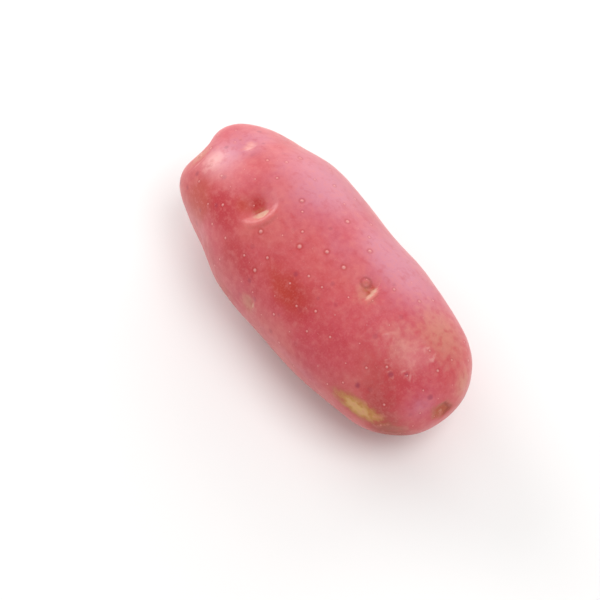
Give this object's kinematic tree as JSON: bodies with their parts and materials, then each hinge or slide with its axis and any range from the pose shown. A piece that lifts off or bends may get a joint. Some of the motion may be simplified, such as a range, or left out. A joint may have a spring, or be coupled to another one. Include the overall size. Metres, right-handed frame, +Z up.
{
  "type": "potato",
  "caption": "Oblong red-skinned potato, whole and unpeeled: a bluntly rounded tuber with shallow eyes, lying on a small flat spot along its underside.",
  "frame": {"origin": "on the resting plane, under the middle of the tuber's bounding box", "axes": "+X along the tuber towards the stolon (stem) end, -X towards the rose (bud) end, +Y across it, +Z up from the resting plane"},
  "size_m": [0.1168, 0.051, 0.0462],
  "materials": {
    "red_skin": "thin red potato skin, washed and dry: satin, mottled crimson to pink, with pale lenticels and eye scars"
  },
  "bodies": {
    "root": {"potato": "red_skin"}
  },
  "joints": []
}
